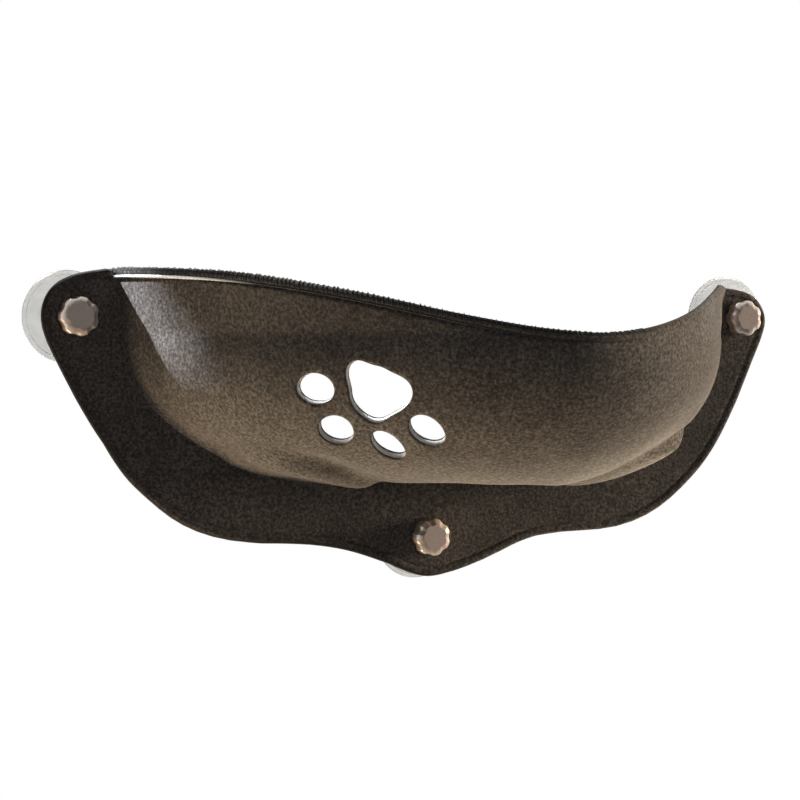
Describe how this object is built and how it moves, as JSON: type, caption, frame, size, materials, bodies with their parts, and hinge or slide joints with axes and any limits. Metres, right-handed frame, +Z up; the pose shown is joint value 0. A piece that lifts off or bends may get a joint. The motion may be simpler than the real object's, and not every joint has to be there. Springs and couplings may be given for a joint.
{
  "type": "window mounted cat perch",
  "caption": "Moulded felt pod for a cat that hangs on a window by suction cups with lobed nuts, open at the top and towards the glass.",
  "frame": {"origin": "on the glass, midway between the centres of the two upper suction cups", "axes": "+X to the right as seen from the room, +Y into the glass, +Z up"},
  "size_m": [0.696, 0.3422, 0.2645],
  "materials": {
    "heather_felt": "heathered needle felt, charcoal to warm brown",
    "eva_foam": "closed-cell foam, matt, light warm grey",
    "lining_felt": "needle felt",
    "clear_vinyl": "clear soft vinyl, glossy",
    "zinc_steel": "zinc plated",
    "black_nylon": "moulded nylon",
    "beige_plastic": "slightly milky satin plastic",
    "brass_insert": "plain brass"
  },
  "bodies": {
    "pod": {"outer_felt": "heather_felt", "pod_core": "eva_foam", "lining_felt": "lining_felt"},
    "cup_left": {"cup_left": "clear_vinyl", "stud_left": "zinc_steel", "back_washer_left": "black_nylon"},
    "washer_left": {"front_washer_left": "zinc_steel"},
    "nut_left": {"knob_left": "beige_plastic", "knob_insert_left": "brass_insert"},
    "cup_right": {"cup_right": "clear_vinyl", "stud_right": "zinc_steel", "back_washer_right": "black_nylon"},
    "washer_right": {"front_washer_right": "zinc_steel"},
    "nut_right": {"knob_right": "beige_plastic", "knob_insert_right": "brass_insert"},
    "cup_bottom": {"cup_bottom": "clear_vinyl", "stud_bottom": "zinc_steel", "back_washer_bottom": "black_nylon"},
    "washer_bottom": {"front_washer_bottom": "zinc_steel"},
    "nut_bottom": {"knob_bottom": "beige_plastic", "knob_insert_bottom": "brass_insert"}
  },
  "joints": [
    {"name": "swivel_left", "type": "hinge", "parent": "pod", "child": "cup_left", "pos_m": [-0.31, -0.025, 0], "axis": [0, -1, 0], "continuous": true},
    {"name": "draw_left", "type": "slide", "parent": "cup_left", "child": "washer_left", "axis": [0, -1, 0], "range_m": [0, 0.0081]},
    {"name": "turn_left", "type": "hinge", "parent": "washer_left", "child": "nut_left", "pos_m": [-0.31, -0.036, 0], "axis": [0, -1, 0], "range_deg": [0, 1440]},
    {"name": "swivel_right", "type": "hinge", "parent": "pod", "child": "cup_right", "pos_m": [0.31, -0.025, 0], "axis": [0, -1, 0], "continuous": true},
    {"name": "draw_right", "type": "slide", "parent": "cup_right", "child": "washer_right", "axis": [0, -1, 0], "range_m": [0, 0.0081]},
    {"name": "turn_right", "type": "hinge", "parent": "washer_right", "child": "nut_right", "pos_m": [0.31, -0.036, 0], "axis": [0, -1, 0], "range_deg": [0, 1440]},
    {"name": "swivel_bottom", "type": "hinge", "parent": "pod", "child": "cup_bottom", "pos_m": [0, -0.025, -0.188], "axis": [0, -1, 0], "continuous": true},
    {"name": "draw_bottom", "type": "slide", "parent": "cup_bottom", "child": "washer_bottom", "axis": [0, -1, 0], "range_m": [0, 0.0081]},
    {"name": "turn_bottom", "type": "hinge", "parent": "washer_bottom", "child": "nut_bottom", "pos_m": [0, -0.036, -0.188], "axis": [0, -1, 0], "range_deg": [0, 1440]}
  ],
  "couplings": [
    {"joint": "draw_left", "follows": "turn_left", "m_per_rad": 0.00031831},
    {"joint": "draw_right", "follows": "turn_right", "m_per_rad": 0.00031831},
    {"joint": "draw_bottom", "follows": "turn_bottom", "m_per_rad": 0.00031831}
  ]
}
